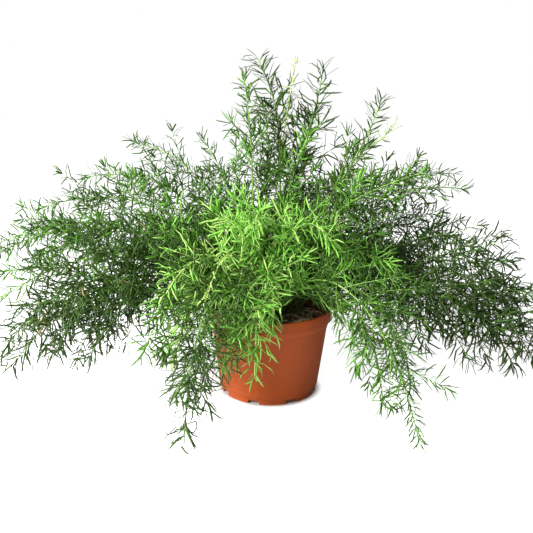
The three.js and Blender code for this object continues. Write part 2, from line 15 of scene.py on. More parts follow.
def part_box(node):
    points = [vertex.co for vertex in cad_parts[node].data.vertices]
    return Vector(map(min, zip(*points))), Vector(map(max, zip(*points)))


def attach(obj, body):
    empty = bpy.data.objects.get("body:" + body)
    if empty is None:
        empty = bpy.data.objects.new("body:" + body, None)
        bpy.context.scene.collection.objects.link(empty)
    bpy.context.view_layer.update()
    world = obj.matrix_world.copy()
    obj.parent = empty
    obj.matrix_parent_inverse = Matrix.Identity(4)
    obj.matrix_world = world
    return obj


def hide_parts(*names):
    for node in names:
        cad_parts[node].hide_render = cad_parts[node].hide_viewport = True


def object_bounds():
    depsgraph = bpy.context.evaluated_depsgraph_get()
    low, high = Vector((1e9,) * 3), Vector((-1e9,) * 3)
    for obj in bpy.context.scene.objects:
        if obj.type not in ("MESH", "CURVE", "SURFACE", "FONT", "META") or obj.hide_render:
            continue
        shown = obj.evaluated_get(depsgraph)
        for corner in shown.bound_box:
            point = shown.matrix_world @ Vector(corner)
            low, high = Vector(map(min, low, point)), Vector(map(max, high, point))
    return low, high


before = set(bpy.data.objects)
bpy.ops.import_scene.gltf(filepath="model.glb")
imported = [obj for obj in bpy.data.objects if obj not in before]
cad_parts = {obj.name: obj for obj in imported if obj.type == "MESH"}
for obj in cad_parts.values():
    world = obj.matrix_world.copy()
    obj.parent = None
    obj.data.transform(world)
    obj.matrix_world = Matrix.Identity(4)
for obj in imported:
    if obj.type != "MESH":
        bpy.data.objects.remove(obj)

MM = 0.001
CAD_BOX = [list(corner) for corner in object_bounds()]
TINY = 1e-6
UP = np.array([0, 0, 1])

# Pot: its rim from its node in the frame, and the rest as in the part
POT_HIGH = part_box("pot")[1]
RIM_RADIUS = POT_HIGH.x / MM
POT_HEIGHT = POT_HIGH.z / MM
BAND_HEIGHT = 13
BODY_TOP_RADIUS = 70.5
BODY_TOP = 86
BODY_FOOT_RADIUS = 60.4
BODY_FOOT = 8
CREASE = 13
CREASE_HALF = 0.6
LIP_DROP = 3.5
FOOT_RADIUS = 58
FOOT_WIDTH = 2.2
FLOOR_BELOW = 4.6
WALL = 1.6
POT_SEGMENTS = 256
POT_EDGE_ANGLE = 35
FILLET_POINTS = 5
DRAINS = 8
NOTCH_WIDTH = 13.5
NOTCH_TURN = 5.4
NOTCH_HEIGHT = 4.4
NOTCH_DEPTH = 12
NOTCH_CORNER = 1.2
NOTCH_CORNER_STEPS = 3
DRAIN_RADIUS = 4
DRAIN_CIRCLE = 47
DRAIN_SEGMENTS = 24

# Potting soil, with the waves of its top as in the part
SOIL_TOP = 94
SOIL_WAVE_X = 0.21
SOIL_WAVE_Y = 0.17
SOIL_EDGE_DROP = 3.5
SOIL_BUMP = 1.3
SOIL_GRIT = 0.3
SOIL_GAP = 0.35
SOIL_RINGS = 60
SOIL_SEGMENTS = 180
SOIL_EDGE_ANGLE = 80
SOIL_SEED = 7

# Crumbs are two crossing waves: the pitch of each, how far it sways and the pitch of its sway
CRUMB_HEIGHT = 0.55
CRUMB_WAVE_X = (0.9, 1.3, 0.6)
CRUMB_WAVE_Y = (1.1, 0.7, 0.8)

# Bark chips: ranges of length and of shape, and turns about each axis in order
CHIPS = 420
CHIP_LENGTH = (0.8, 3.6)
CHIP_WIDTH = (0.35, 0.9)
CHIP_THICKNESS = (0.2, 0.5)
CHIP_SQUARENESS = (0.45, 0.9)
CHIP_ROUGHNESS = 0.16
CHIP_TURNS = (("Z", 0, 2 * math.pi), ("X", -0.6, 0.6), ("Y", -0.5, 0.5))
CHIP_RISE = 0.2
CHIP_MARGIN = 6
CHIP_SEED = 11

# Fibres: ranges of length, thickness and rise, and how much they bend and taper
FIBRES = 300
FIBRE_LENGTH = (10, 34)
FIBRE_RADIUS = (0.3, 1.0)
FIBRE_LIFT = (0.2, 4.0)
FIBRE_REST = 0.3
FIBRE_BEND = 0.28
FIBRE_TAPER = 0.6
FIBRE_POINTS = 8
FIBRE_SIDES = 5
FIBRE_MARGIN = 10
FIBRE_END_MARGIN = 4
FIBRE_SEED = 13

# Canes. Their lines are the part's, but they are thinner and go less deep into the soil.
CANE_RADIUS = 1.3
CANE_TIP_RADIUS = 0.55
CANE_SIDES = 8
CANE_POINTS = 201
CANE_STEP = 5
CANE_LEAN = 0.14
CANE_RISE = 0.75
HEADING_REACH = 2
ROOT_DEPTH = 6
CROWN_START = 8
CROWN_BY_REACH = 0.1
CROWN_REACH = 300
CROWN_SPACING = 6.4
CROWN_RADIUS = 40
CROWN_CENTRE = (-9, 5)
CROWN_TURNS = 80

# Twigs, set as in the part, and thinner. Angles are in degrees, and a spread is the whole width of a
# drawn range.
TWIG_RADIUS = 0.5
TWIG_TIP_RADIUS = 0.28
TWIG_SIDES = 5
TWIG_STEP = 9
TWIG_POINTS_LEAST = 4
TWIG_SPACING = 11
TWIG_JITTER = 0.6
TWIG_CROWDING = 1.15
TWIGS_LEAST = 3
GOLDEN_ANGLE = 137.5
TWIG_TURN_SPREAD = 40
TWIG_LEAN = 50
TWIG_LEAN_SPREAD = 22
SPRAY_FLATNESS = 1.15
TWIG_BASE = 46
TWIG_BY_REACH = 0.09
TWIG_LEAST = 0.26
TWIG_SIZE = 0.95
TWIG_SIZE_SPREAD = 0.6
SWELL_START = 0.14
SWELL_RANGE = 0.74
SWELL_POWER = 0.9
TWIG_ONWARD = 0.5
TWIG_DROOP = -0.1
TWIG_DROOP_SPREAD = 0.5
TWIG_FLOOR = 8
BARE_SHARE = 0.07
BRUSH_LENGTH = 110
BRUSH_MOST = 0.45
BRUSH_TWIGLESS = 0.55
TWIG_SEED = 5000
TWIG_SEED_PER_STEM = 997
TWIG_SEED_PER_TWIG = 13

# What youth and old age change: shoots are sparse, small-leaved and bowed, and both young and old
# stems have longer and wider needles that stand further apart
SHOOT_FROM = 0.6
SHOOT_LESS = 0.55
SHOOT_SPREAD = 1.1
SHOOT_LEAF = 0.75
SHOOT_THINNING = 0.3
SHOOT_BOW = 1.6
BUD_SIZE = 0.4
BOLD_FROM = 0.3
BOLD_LENGTH = 0.3
BOLD_WIDTH = 0.35
BOLD_SPREAD = 0.3
OLD_TIPS = 0.25

# Needles. A needle's turn in its ring is in radians, and the other angles are in degrees.
NODE_SPACING = 6.1
NODE_START = 0.6
NODES_LEAST = 2
NODE_TWIST = 47
NODE_TWIST_SPREAD = 30
NODE_NEEDLES = (2, 2, 3, 3, 4)
END_NEEDLES = 6
SPARSE_NEEDLES = (1, 1, 2, 2, 3)
SPARSE_END_NEEDLES = 3
TWIG_BARE_SHARE = 0.12
BRUSH_SPACING = 3.7
BRUSH_TWIST = 50
BRUSH_SHORTENING = 0.25
BRUSH_SEED = 9000
BRUSH_SEED_PER_STEM = 211
NEEDLE_LENGTH = 22
NEEDLE_SHORTENING = 0.3
NEEDLE_SIZE = 0.975
NEEDLE_SIZE_SPREAD = 0.45
NEEDLE_WIDTH = 1.55
NEEDLE_WIDTH_SPREAD = 0.4
NEEDLE_TURN_SPREAD = 0.9
NEEDLE_OPENING = 58
END_OPENING = 34
OPENING_SPREAD = 52
NEEDLE_SEED = 100
FACING_SPREAD = 0.7
KEEL = 0.55
LOWEST_NEEDLE = 3
NEEDLE_CLEARANCE = 1
NEEDLE_INSIDE = 2
BOX_SPARE = 2

# A needle's bow upwards and sideways, as shares of its length
NEEDLE_BOW = (0.05, 0)
NEEDLE_BOW_SPREAD = (0.07, 0.085)

# A needle's tone is its own part and its twig's part. Dry needles have a tone of 1, and what has no
# tone of its own is plain.
OWN_TONE = 0.6
SPRAY_TONE = 0.38
DRY_SHARE = 0.004
PLAIN = 0.5

# The crown parts over the soil at the front right: where the parting starts, where it leads to and
# how wide it is on each side
PARTING = np.array([38, -12, 92])
PARTING_END = np.array([35, -190, 150])
PARTING_RADIUS = 24

# Camera, fitted to the pot and the stems in the photograph
PHOTO_SIDE = 533
FOCAL_PIXELS = 700
CAMERA_PLACE = Vector((0, -811.5, 359)) * MM
CAMERA_PITCH = math.radians(14.26)
CAMERA_YAW = math.radians(-0.35)
CAMERA_ROLL = math.radians(1.05)
SENSOR = 36

# Each stem, as the part lists it: azimuth it sets out on, how far it swings round, reach of its tip
# from the axis, height that its arch aims at, share of the reach where it turns down, height of its
# tip, and how young it is, from -0.3 for the darkest old growth to 1 for a bare new shoot. This last
# value also holds painted shading: stems that the key light falls full on, as those trailing at the
# left in front, are set older and so darker, and the stems in front over the rim are set younger and
# so brighter, than their growth alone would make them
STEMS = [
    # upright, at the top
    (20, 90, 60, 330, 0.6, 394, -0.2),
    (150, 40, 34, 285, 0.4, 370, 0.1),
    (60, 5, 58, 300, 0.4, 388, 1.0),
    (38, -5, 66, 300, 0.85, 374, -0.25),
    (88, 10, 80, 290, 0.45, 336, -0.1),
    (350, -4, 42, 262, 0.5, 312, 0.25),
    (358, -4, 118, 245, 0.75, 344, 0.1),
    (24, 4, 166, 250, 0.5, 312, 0.8),
    # arching to the right
    (336, 6, 170, 244, 0.5, 274, 0.2),
    (8, 4, 226, 268, 0.58, 262, 0.0),
    (354, 6, 222, 262, 0.6, 250, 0.0),
    (14, -6, 262, 232, 0.6, 166, 0.0),
    (3, -3, 320, 220, 0.65, 116, -0.15),
    (357, -7, 308, 186, 0.73, 66, -0.3),
    (344, 3, 284, 190, 0.75, 62, -0.3),
    (336, 7, 236, 182, 0.75, 66, -0.25),
    (20, -8, 215, 200, 0.75, 90, 0.0),
    (330, 5, 162, 220, 0.7, 142, 0.3),
    (351, 0, 320, 202, 0.74, 80, -0.25),
    # trailing at the right, in front
    (307, 6, 226, 205, 0.74, 14, 0.0),
    (320, 4, 190, 188, 0.9, 50, 0.05),
    (313, 0, 178, 185, 0.88, 38, 0.2),
    # arching to the left
    (145, 0, 106, 252, 0.6, 298, 0.0),
    (158, 4, 178, 280, 0.55, 292, 0.0),
    (166, 3, 230, 272, 0.6, 250, 0.0),
    (172, 4, 276, 254, 0.6, 216, 0.05),
    (181, -2, 274, 222, 0.6, 160, 0.2),
    (184, -2, 322, 230, 0.62, 166, 0.0),
    (191, -2, 322, 205, 0.65, 112, 0.1),
    (177, 4, 332, 232, 0.62, 172, 0.1),
    (195, 0, 302, 195, 0.72, 76, -0.3),
    (198, 3, 290, 184, 0.72, 72, -0.3),
    (203, -7, 252, 180, 0.75, 68, -0.25),
    (207, -4, 215, 175, 0.75, 68, -0.2),
    (194, 2, 228, 174, 0.8, 56, -0.1),
    (216, 2, 170, 182, 0.75, 82, 0.3),
    (182, 6, 160, 224, 0.6, 176, 0.4),
    (226, -2, 144, 182, 0.78, 78, 0.6),
    # trailing at the left, in front
    (241, 4, 196, 190, 0.88, 14, -0.3),
    (235, 2, 146, 172, 0.9, 42, -0.2),
    # in front, over the rim
    (262, 0, 108, 170, 0.9, 58, 0.65),
    (254, -4, 98, 160, 0.85, 80, 0.6),
    (244, 2, 112, 158, 0.85, 70, 0.6),
    (268, 0, 72, 178, 0.7, 150, 0.5),
    (274, -2, 92, 182, 0.85, 106, 0.55),
    (239, 0, 128, 214, 0.72, 146, 0.9),
    (222, 4, 156, 205, 0.7, 150, 0.7),
    (258, 0, 85, 250, 0.6, 220, 0.6),
    (300, 5, 110, 240, 0.6, 205, 0.55),
    (230, 10, 95, 230, 0.6, 215, 0.55),
    # at the back
    (52, 6, 186, 260, 0.6, 220, 0.1),
    (74, 0, 184, 245, 0.7, 130, 0.0),
    (98, 4, 186, 235, 0.75, 100, 0.1),
    (122, -3, 186, 250, 0.65, 170, 0.1),
    (138, 5, 240, 235, 0.7, 110, 0.0),
    (40, -6, 262, 220, 0.7, 90, 0.0),
    (112, 4, 178, 195, 0.85, 40, 0.1),
    (62, 4, 180, 190, 0.85, 45, 0.0),
]


# Numbers and directions

# The largest 32-bit number
WORD = 0xFFFFFFFF


def draws(seed):
    """The part's seeded stream of numbers from 0 to 1 (mulberry32)."""
    state = seed & WORD

    def draw():
        nonlocal state
        state = (state + 0x6D2B79F5) & WORD
        mixed = (state ^ (state >> 15)) * (1 | state) & WORD
        mixed = ((mixed + ((mixed ^ (mixed >> 7)) * (61 | mixed) & WORD)) & WORD) ^ mixed
        return ((mixed ^ (mixed >> 14)) & WORD) / 2**32

    return draw


def vary(draw, middle, spread):
    """A drawn number from a range as wide as the spread, round its middle."""
    return middle + spread * (draw() - 0.5)


def polar(radius, azimuth, z):
    angle = math.radians(azimuth)
    return np.array([radius * math.cos(angle), radius * math.sin(angle), z])


def unit(vectors):
    return vectors / np.linalg.norm(vectors, axis=-1, keepdims=True)


def across(tangent, reference):
    """Two directions across a tangent, the first one nearest to the reference."""
    side = unit(reference - tangent * np.sum(reference * tangent, axis=-1, keepdims=True))
    return side, np.cross(side, tangent)


def lerp(low, high, share):
    return low + (high - low) * share


def clamp(share):
    return min(1, max(0, share))


def quadratic(start, middle, end, t):
    return (1 - t) ** 2 * start + 2 * t * (1 - t) * middle + t**2 * end


def cubic(corners, t):
    weights = ((1 - t) ** 3, 3 * (1 - t) ** 2 * t, 3 * (1 - t) * t**2, t**3)
    return sum(weight * corner for weight, corner in zip(weights, corners))


# Meshes

class Skin:
    """The points and faces of one mesh, with marks that its material reads at each point."""

    def __init__(self, *marks):
        self.names = marks
        self.points = []
        self.marks = []
        self.faces = []
        self.slots = []
        self.count = 0

    def add(self, points, faces, marks, slot=0):
        self.points.append(points)
        self.marks.append(np.stack([np.broadcast_to(mark, len(points)) for mark in marks], axis=-1))
        for group in faces:
            self.faces += (np.asarray(group) + self.count).tolist()
            self.slots += [slot] * len(group)
        self.count += len(points)

    def build(self, name, materials, smooth=True):
        mesh = bpy.data.meshes.new(name)
        mesh.from_pydata(np.concatenate(self.points) * MM, [], self.faces)
        marks = np.concatenate(self.marks)
        for column, mark in enumerate(self.names):
            layer = mesh.attributes.new(mark, "FLOAT", "POINT")
            layer.data.foreach_set("value", np.ascontiguousarray(marks[:, column], np.float32))
        for material in materials:
            mesh.materials.append(material)
        mesh.polygons.foreach_set("material_index", self.slots)
        mesh.polygons.foreach_set("use_smooth", [smooth] * len(self.faces))
        mesh.update()
        made = bpy.data.objects.new(name, mesh)
        bpy.context.collection.objects.link(made)
        return made


def tube(points, radii, sides, reference):
    """A closed tube along points, and its faces."""
    tangent = unit(np.gradient(points, axis=0))
    side, normal = across(tangent, np.broadcast_to(reference, tangent.shape))
    angles = 2 * np.pi * np.arange(sides) / sides
    ring = np.cos(angles)[:, None] * side[:, None] - np.sin(angles)[:, None] * normal[:, None]
    skin = points[:, None] + ring * np.broadcast_to(radii, len(points))[:, None, None]
    corner = np.arange(sides)
    after = (corner + 1) % sides
    rows = sides * np.arange(len(points) - 1)[:, None]
    quads = np.stack([rows + corner, rows + after, rows + sides + after, rows + sides + corner], axis=-1)
    caps = [corner[::-1].tolist(), (corner + sides * (len(points) - 1)).tolist()]
    return skin.reshape(-1, 3), [quads.reshape(-1, 4), caps]


# Stations of a blade: share of its length, share of its width
BLADE_STATIONS = ((0, 0.42), (0.34, 1), (0.78, 0.86))
BLADE_SIDES = ((0, 1), (1, 2), (2, 0))


def blades(base, tip, facing, width, bow):
    """Thin pointed blades with a keel under them, curved up and sideways, and their faces."""
    axis = tip - base
    length = np.linalg.norm(axis, axis=-1, keepdims=True)
    normal, _ = across(axis / length, facing)
    side = np.cross(axis / length, normal)
    rows = []
    for share, wide in BLADE_STATIONS:
        curve = length * 4 * share * (1 - share)
        centre = base + share * axis + curve * (bow[:, :1] * normal + bow[:, 1:] * side)
        half = width[:, None] / 2 * wide
        rows += [centre - side * half, centre + side * half, centre - normal * half * KEEL]
    points = np.stack(rows + [tip], axis=1)
    first = len(rows) + 1
    start = first * np.arange(len(base))[:, None]
    quads = []
    for row in range(len(BLADE_STATIONS) - 1):
        low = 3 * row
        for a, b in BLADE_SIDES:
            quads.append(start + np.array([low + a, low + b, low + 3 + b, low + 3 + a]))
    last = 3 * (len(BLADE_STATIONS) - 1)
    ends = [start + np.array([last + a, last + b, last + 3]) for a, b in BLADE_SIDES]
    ends.append(start + np.array([0, 2, 1]))
    return points.reshape(-1, 3), [np.concatenate(quads), np.concatenate(ends)], first


def share_along_blades(count):
    shares = [share for share, _ in BLADE_STATIONS for _ in range(3)] + [1]
    return np.tile(shares, count)


# Stems

def crown_roots():
    """Where each stem leaves the soil: crowded canes push each other apart."""
    roots = []
    for azimuth, _, reach, *_ in STEMS:
        roots.append(polar(CROWN_START + CROWN_BY_REACH * min(CROWN_REACH, reach), azimuth, 0)[:2])
    for _ in range(CROWN_TURNS):
        for one in range(len(roots)):
            for other in range(one):
                push_apart(roots, one, other)
        roots = [root * min(1, CROWN_RADIUS / math.hypot(*root)) for root in roots]
    return [root + np.array(CROWN_CENTRE) for root in roots]


def push_apart(roots, one, other):
    """Move two roots apart if they are closer than canes can stand."""
    apart = roots[one] - roots[other]
    distance = math.hypot(*apart)
    if distance < CROWN_SPACING:
        push = apart * (CROWN_SPACING - distance) / 2 / max(distance, TINY)
        roots[one] = roots[one] + push
        roots[other] = roots[other] - push


class Cane:
    """A cane's line: up out of the soil, over its arch and down to its tip."""

    def __init__(self, index, root):
        azimuth, bend, reach, lift, shoulder, tip, self.youth_and_painted_shading = STEMS[index]
        self.index = index
        self.reach = reach
        self.side = polar(1, azimuth + 90, 0)
        start = np.array([*root, SOIL_TOP])
        corners = (
            start,
            start + polar(CANE_LEAN * reach, azimuth, CANE_RISE * (lift - SOIL_TOP)),
            polar(max(shoulder * reach, math.hypot(*root)), azimuth + bend / 2, lift),
            polar(reach, azimuth + bend, tip),
        )
        self.line = cubic(corners, np.linspace(0, 1, CANE_POINTS)[:, None])
        steps = np.linalg.norm(np.diff(self.line, axis=0), axis=1)
        self.run = np.concatenate([[0], np.cumsum(steps)])
        self.length = self.run[-1]
        self.brush = min(BRUSH_LENGTH, BRUSH_MOST * self.length)
        self.set_traits()

    def set_traits(self):
        """What the cane's youth makes of its twigs and needles, each from 0 to 1 or as a factor."""
        self.shoot = clamp((self.youth_and_painted_shading - SHOOT_FROM) / (1 - SHOOT_FROM))
        self.bold = clamp(abs(self.youth_and_painted_shading) / BOLD_FROM)
        self.old = clamp(-self.youth_and_painted_shading / BOLD_FROM)
        in_bud = self.youth_and_painted_shading == 1
        self.leafage = BUD_SIZE if in_bud else lerp(1, SHOOT_LEAF, self.shoot)
        self.twig_size = (1 - SHOOT_LESS * self.shoot) * (BUD_SIZE if in_bud else 1)
        self.sparseness = 1 + SHOOT_SPREAD * self.shoot

    def at(self, distance):
        return np.stack([np.interp(distance, self.run, self.line[:, k]) for k in range(3)], axis=-1)

    def heading(self, distance):
        before = np.maximum(distance - HEADING_REACH, 0)
        after = np.minimum(distance + HEADING_REACH, self.length)
        return unit(self.at(after) - self.at(before))

    def stations(self):
        """Distances along the cane, and the points there, from a little below the soil."""
        distances = np.linspace(0, self.length, int(self.length / CANE_STEP))
        below = self.at(0) - ROOT_DEPTH * self.heading(0)
        return np.concatenate([[0], distances]), np.vstack([below, self.at(distances)])


class Twig:
    """A twig: out from the cane at a forward angle, then on along it and a little down."""

    def __init__(self, cane, number, count):
        self.draw = draws(TWIG_SEED + TWIG_SEED_PER_STEM * cane.index + TWIG_SEED_PER_TWIG * number)
        self.age = (number + 0.5) / count
        start = BARE_SHARE * cane.length
        end = cane.length - BRUSH_TWIGLESS * cane.brush
        distance = lerp(start, end, self.age**TWIG_CROWDING)
        distance += TWIG_SPACING * vary(self.draw, 0, TWIG_JITTER)
        self.base = cane.at(distance)
        self.onward = cane.heading(distance)
        direction = self.set_out(cane, number)
        swell = math.sin(math.pi * min(1, SWELL_START + SWELL_RANGE * self.age)) ** SWELL_POWER
        longest = (TWIG_BASE + TWIG_BY_REACH * cane.reach) * lerp(TWIG_LEAST, 1, swell)
        self.length = longest * vary(self.draw, TWIG_SIZE, TWIG_SIZE_SPREAD) * cane.twig_size
        self.middle = self.base + self.length / 2 * direction
        droop = np.array([0, 0, vary(self.draw, TWIG_DROOP, -TWIG_DROOP_SPREAD)])
        self.tip = self.middle + self.length / 2 * unit(direction + TWIG_ONWARD * self.onward + droop)
        self.tip[2] = max(self.tip[2], TWIG_FLOOR)

    def set_out(self, cane, number):
        """The direction in which the twig leaves its cane."""
        side, normal = across(self.onward, cane.side)
        turn = math.radians(GOLDEN_ANGLE * number + vary(self.draw, 0, TWIG_TURN_SPREAD))
        lean = math.radians(vary(self.draw, TWIG_LEAN, TWIG_LEAN_SPREAD))
        spread = SPRAY_FLATNESS * math.cos(turn) * side + math.sin(turn) * normal
        return unit(math.cos(lean) * self.onward + math.sin(lean) * spread)

    def at(self, share):
        return quadratic(self.base, self.middle, self.tip, share)

    def heading(self, share):
        return unit(lerp(self.middle - self.base, self.tip - self.middle, share))


# A place on a twig or cane where needles stand: the needles' length before each one's own draw, the
# angle they open to, and how near the cane's tip the twig is, from 0 to 1
Node = namedtuple("Node", "place heading reference length opening age")


class Needles:
    """Needles gathered for one stem: where each starts and ends, and how each looks."""

    def __init__(self, cane):
        self.cane = cane
        self.rows = []
        self.spray = PLAIN
        self.counts = SPARSE_NEEDLES if cane.shoot > 0 else NODE_NEEDLES
        self.at_end = SPARSE_END_NEEDLES if cane.shoot > 0 else END_NEEDLES

    def number(self, draw, last):
        """How many needles a node has. The last node always has the same number."""
        return self.at_end if last else self.counts[int(len(self.counts) * draw())]

    def ring(self, node, number, turn, draw):
        """The needles of one node, spread round the twig."""
        cane = self.cane
        side, normal = across(node.heading, node.reference)
        growth = cane.leafage * (1 + BOLD_LENGTH * cane.bold + OLD_TIPS * cane.old * node.age**3)
        breadth = NEEDLE_WIDTH * (1 + BOLD_WIDTH * cane.bold) * (1 - SHOOT_THINNING * cane.shoot)
        for needle in range(number):
            angle = turn + 2 * math.pi * needle / number + vary(draw, 0, NEEDLE_TURN_SPREAD)
            opening = math.radians(vary(draw, node.opening, OPENING_SPREAD))
            out = math.cos(angle) * side + math.sin(angle) * normal
            direction = math.cos(opening) * node.heading + math.sin(opening) * out
            length = node.length * growth * vary(draw, NEEDLE_SIZE, NEEDLE_SIZE_SPREAD)
            width = breadth * vary(draw, 1, NEEDLE_WIDTH_SPREAD)
            self.add(node.place, node.place + length * direction, width, node.age)

    def add(self, base, tip, width, age):
        inside = all(low / MM - BOX_SPARE < x < high / MM + BOX_SPARE
                     for x, low, high in zip(tip, *CAD_BOX))
        if inside and tip[2] > LOWEST_NEEDLE and not in_pot(tip) and not in_parting(tip):
            self.rows.append((*base, *tip, width, age, self.spray))


def in_pot(point):
    """Whether a needle's tip would end in the soil or in the pot's wall."""
    radius = math.hypot(point[0], point[1])
    if point[2] > POT_HEIGHT:
        return False
    wall = lerp(BODY_FOOT_RADIUS, RIM_RADIUS, min(1, point[2] / BODY_TOP))
    in_wall = radius > BODY_TOP_RADIUS - NEEDLE_INSIDE
    return radius < wall + NEEDLE_CLEARANCE and (point[2] < SOIL_TOP or in_wall)


def in_parting(point):
    """Whether a point is in the parting that shows the soil."""
    way = PARTING_END - PARTING
    share = clamp(np.dot(point - PARTING, way) / np.dot(way, way))
    return np.linalg.norm(point - PARTING - share * way) < PARTING_RADIUS


def grow_twig(skin, needles, cane, number, count):
    twig = Twig(cane, number, count)
    if in_parting(twig.middle) or in_parting(twig.tip):
        return
    needles.spray = twig.draw()
    shares = np.linspace(0, 1, max(TWIG_POINTS_LEAST, int(twig.length / TWIG_STEP)))
    radii = lerp(TWIG_RADIUS, TWIG_TIP_RADIUS, shares)
    points, faces = tube(twig.at(shares[:, None]), radii, TWIG_SIDES, twig.onward)
    skin.add(points, faces, (PLAIN, cane.youth_and_painted_shading, twig.age, PLAIN), slot=1)
    nodes = int(twig.length / (NODE_SPACING * (cane.sparseness + BOLD_SPREAD * cane.bold)))
    nodes = max(NODES_LEAST, nodes)
    for row in range(nodes + 1):
        share = (row + NODE_START) / (nodes + NODE_START)
        if share < TWIG_BARE_SHARE:
            continue
        last = row == nodes
        length = NEEDLE_LENGTH * (1 - NEEDLE_SHORTENING * share**3)
        opening = END_OPENING if last else NEEDLE_OPENING
        node = Node(twig.at(share), twig.heading(share), twig.onward, length, opening, twig.age)
        needle_count = needles.number(twig.draw, last)
        turn = math.radians(NODE_TWIST * row + NODE_TWIST_SPREAD * twig.draw())
        needles.ring(node, needle_count, turn, twig.draw)


def grow_brush(needles, cane):
    """Needles on the cane itself, near its tip."""
    nodes = int(cane.brush / (BRUSH_SPACING * cane.sparseness))
    for row in range(nodes + 1):
        draw = draws(BRUSH_SEED + BRUSH_SEED_PER_STEM * cane.index + row)
        share = row / nodes
        last = row == nodes
        distance = cane.length - cane.brush * (1 - share)
        length = NEEDLE_LENGTH * (1 - BRUSH_SHORTENING * share**2)
        opening = END_OPENING if last else NEEDLE_OPENING
        node = Node(cane.at(distance), cane.heading(distance), cane.side, length, opening, 1)
        turn = math.radians(BRUSH_TWIST * row + NODE_TWIST_SPREAD * draw())
        needles.ring(node, needles.number(draw, last), turn, draw)


def add_needles(skin, needles, seed):
    """The gathered needles as blades, each with a tone of its own."""
    random = np.random.default_rng(seed)
    cane = needles.cane
    rows = np.array(needles.rows)
    count = len(rows)
    facing = UP + FACING_SPREAD * random.normal(size=(count, 3))
    bow = random.normal(NEEDLE_BOW, NEEDLE_BOW_SPREAD, (count, 2)) * (1 + SHOOT_BOW * cane.shoot + cane.old)
    points, faces, each = blades(rows[:, :3], rows[:, 3:6], facing, rows[:, 6], bow)
    tone = OWN_TONE * random.random(count) + SPRAY_TONE * rows[:, 8]
    tone = np.repeat(np.where(random.random(count) < DRY_SHARE, 1, tone), each)
    age = np.repeat(rows[:, 7], each)
    skin.add(points, faces, (tone, cane.youth_and_painted_shading, age, share_along_blades(count)), slot=0)


def grow_stem(index, root, materials):
    cane = Cane(index, root)
    skin = Skin("tone", "youth_and_painted_shading", "age", "along")
    distances, points = cane.stations()
    share = distances / cane.length
    radii = lerp(CANE_RADIUS, CANE_TIP_RADIUS, share)
    skin_points, faces = tube(points, radii, CANE_SIDES, cane.side)
    skin.add(skin_points, faces, (PLAIN, cane.youth_and_painted_shading, np.repeat(share, CANE_SIDES), PLAIN), slot=1)
    needles = Needles(cane)
    leafy = cane.length * (1 - BARE_SHARE) - BRUSH_TWIGLESS * cane.brush
    count = max(TWIGS_LEAST, int(leafy / (TWIG_SPACING * cane.sparseness)))
    for number in range(count):
        grow_twig(skin, needles, cane, number, count)
    grow_brush(needles, cane)
    add_needles(skin, needles, NEEDLE_SEED + index)
    name = f"stem_{index + 1:02d}"
    stem = skin.build(f"fern_{name}", materials)
    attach(stem, "root")
    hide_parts(name)


# Materials

# Most noise values lie between these
NOISE_LOW = 0.3
NOISE_HIGH = 0.7


class Paint:
    """A material's node tree, with short ways to add the nodes that the materials below use."""

    def __init__(self, name):
        self.material = bpy.data.materials.new(name)
        self.material.use_nodes = True
        self.tree = self.material.node_tree
        self.shader = self.tree.nodes["Principled BSDF"]
        self.output = self.tree.nodes["Material Output"]
        self.place = self.node("ShaderNodeTexCoord").outputs["Object"]

    def node(self, kind, inputs=(), **settings):
        made = self.tree.nodes.new(kind)
        for key, value in settings.items():
            setattr(made, key, value)
        for key, value in dict(inputs).items():
            self.feed(made.inputs[key], value)
        return made

    def feed(self, socket, value):
        if isinstance(value, bpy.types.NodeSocket):
            self.tree.links.new(value, socket)
        else:
            socket.default_value = value

    def noise(self, scale, detail=3, stretch=(1, 1, 1)):
        """Noise with features of 1 / scale metres, drawn out along an axis where stretch is below 1."""
        spread = self.node("ShaderNodeVectorMath", {0: self.place, 1: stretch}, operation="MULTIPLY")
        return self.node("ShaderNodeTexNoise", {
            "Vector": spread.outputs[0], "Scale": scale, "Detail": detail}).outputs["Fac"]

    def mark(self, name):
        return self.node("ShaderNodeAttribute", attribute_name=name).outputs["Fac"]

    def math(self, operation, first, second=0.0):
        return self.node("ShaderNodeMath", {0: first, 1: second}, operation=operation).outputs[0]

    def add(self, *terms):
        total = terms[0]
        for term in terms[1:]:
            total = self.math("ADD", total, term)
        return total

    def times(self, value, factor):
        return self.math("MULTIPLY", value, factor)

    def span(self, value, low, high, to_low=0.0, to_high=1.0):
        return self.node("ShaderNodeMapRange", {
            "Value": value, "From Min": low, "From Max": high,
            "To Min": to_low, "To Max": to_high}).outputs["Result"]

    def swing(self, noise, to_low, to_high):
        return self.span(noise, NOISE_LOW, NOISE_HIGH, to_low, to_high)

    def ramp(self, value, *stops):
        made = self.node("ShaderNodeValToRGB", {"Fac": value})
        elements = made.color_ramp.elements
        while len(elements) < len(stops):
            elements.new(0.5)
        for element, (position, colour) in zip(elements, stops):
            element.position = position
            element.color = (*colour, 1)
        return made.outputs["Color"]

    def mix(self, share, first, second):
        made = self.node("ShaderNodeMix", data_type="RGBA")
        for socket, value in zip((made.inputs[0], made.inputs[6], made.inputs[7]), (share, first, second)):
            self.feed(socket, (*value, 1) if isinstance(value, tuple) else value)
        return made.outputs[2]

    def bump(self, height, distance, strength):
        """Relief as deep as the distance, in metres."""
        made = self.node("ShaderNodeBump", {"Height": height, "Distance": distance, "Strength": strength})
        self.feed(self.shader.inputs["Normal"], made.outputs["Normal"])
        return made.outputs["Normal"]

    def set(self, **inputs):
        for key, value in inputs.items():
            socket = self.shader.inputs[key.replace("_", " ")]
            self.feed(socket, (*value, 1) if isinstance(value, tuple) else value)


# Colours of needles from dark old ones to lime new ones
OLD_LEAF = (0.056, 0.116, 0.018)
DARK_LEAF = (0.064, 0.155, 0.018)
LEAF = (0.148, 0.375, 0.044)
FRESH_LEAF = (0.370, 0.820, 0.120)
LIME_LEAF = (0.640, 0.860, 0.260)
STRAW = (0.420, 0.300, 0.110)

